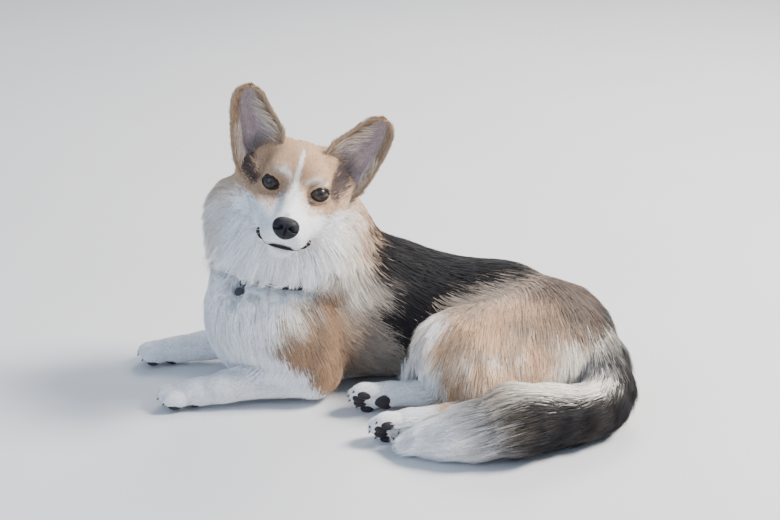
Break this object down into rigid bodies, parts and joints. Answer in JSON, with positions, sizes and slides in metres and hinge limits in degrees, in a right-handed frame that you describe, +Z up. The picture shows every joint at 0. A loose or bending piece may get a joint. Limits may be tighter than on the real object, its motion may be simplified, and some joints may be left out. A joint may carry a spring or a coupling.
{
  "type": "pembroke welsh corgi",
  "caption": "Life-size Pembroke Welsh corgi lying on its breast and one hip, forelegs forward, head raised and turned to its left, tail laid round on the floor, with a collar and tag.",
  "frame": {"origin": "centre of the base, on the floor that the dog lies on", "axes": "+X from the head end to the tail end along the body, +Y away from the dog's left side, +Z up"},
  "size_m": [0.6044, 0.3474, 0.3829],
  "materials": {
    "coat_tan": "soft tan hair",
    "coat_white": "soft white hair",
    "coat_black": "soft black hair with a slight sheen",
    "bare_skin": "dark bare skin, a little moist",
    "eye": "wet, very dark brown",
    "collar": "dark, satin",
    "metal": "worn steel"
  },
  "bodies": {
    "root": {"eye_left": "eye", "eye_right": "eye", "nose": "bare_skin", "collar": "collar", "collar_ring": "metal", "tag": "metal", "torso": "coat_black", "neck": "coat_white", "head": "coat_tan", "ear_left": "coat_tan", "ear_right": "coat_tan", "forearm_left": "coat_white", "forepaw_left": "coat_white", "upper_arm_left": "coat_tan", "forearm_right": "coat_white", "forepaw_right": "coat_white", "upper_arm_right": "coat_tan", "hind_foot_left": "coat_white", "shank_left": "coat_tan", "thigh_left": "coat_tan", "hind_foot_right": "coat_white", "shank_right": "coat_tan", "thigh_right": "coat_tan", "tail_base": "coat_black", "tail_bend": "coat_black", "tail_middle": "coat_black", "tail_tip": "coat_white"}
  },
  "joints": []
}
